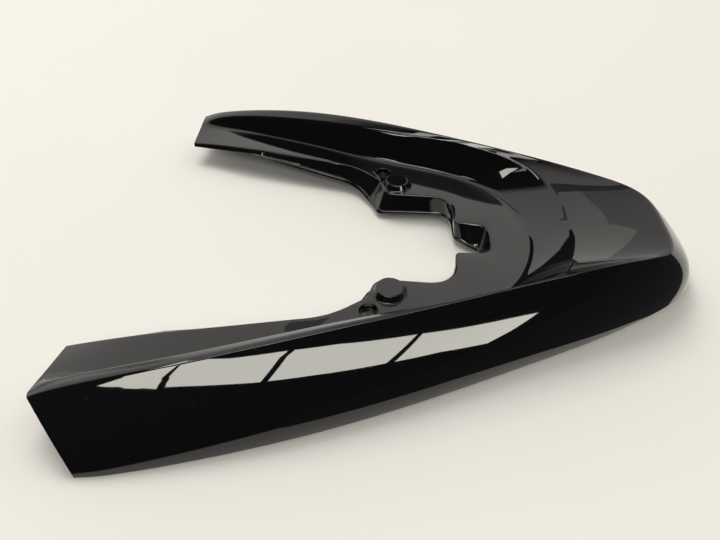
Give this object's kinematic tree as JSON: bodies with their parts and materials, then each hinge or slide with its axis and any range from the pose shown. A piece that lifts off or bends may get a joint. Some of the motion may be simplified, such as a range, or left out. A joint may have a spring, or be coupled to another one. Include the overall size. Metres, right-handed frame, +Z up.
{
  "type": "scooter tail cover",
  "caption": "Glossy horseshoe-shaped tail cover with a flat inner flange, round studs, recessed screw holes and a rounded tail.",
  "frame": {"origin": "centre of the footprint, on the surface the hem stands on", "axes": "+X towards the tail, +Y towards the far side arm, +Z up"},
  "size_m": [0.412, 0.3928, 0.0511],
  "materials": {
    "gloss_black": "high gloss"
  },
  "bodies": {
    "root": {"tail_cover": "gloss_black"}
  },
  "joints": []
}
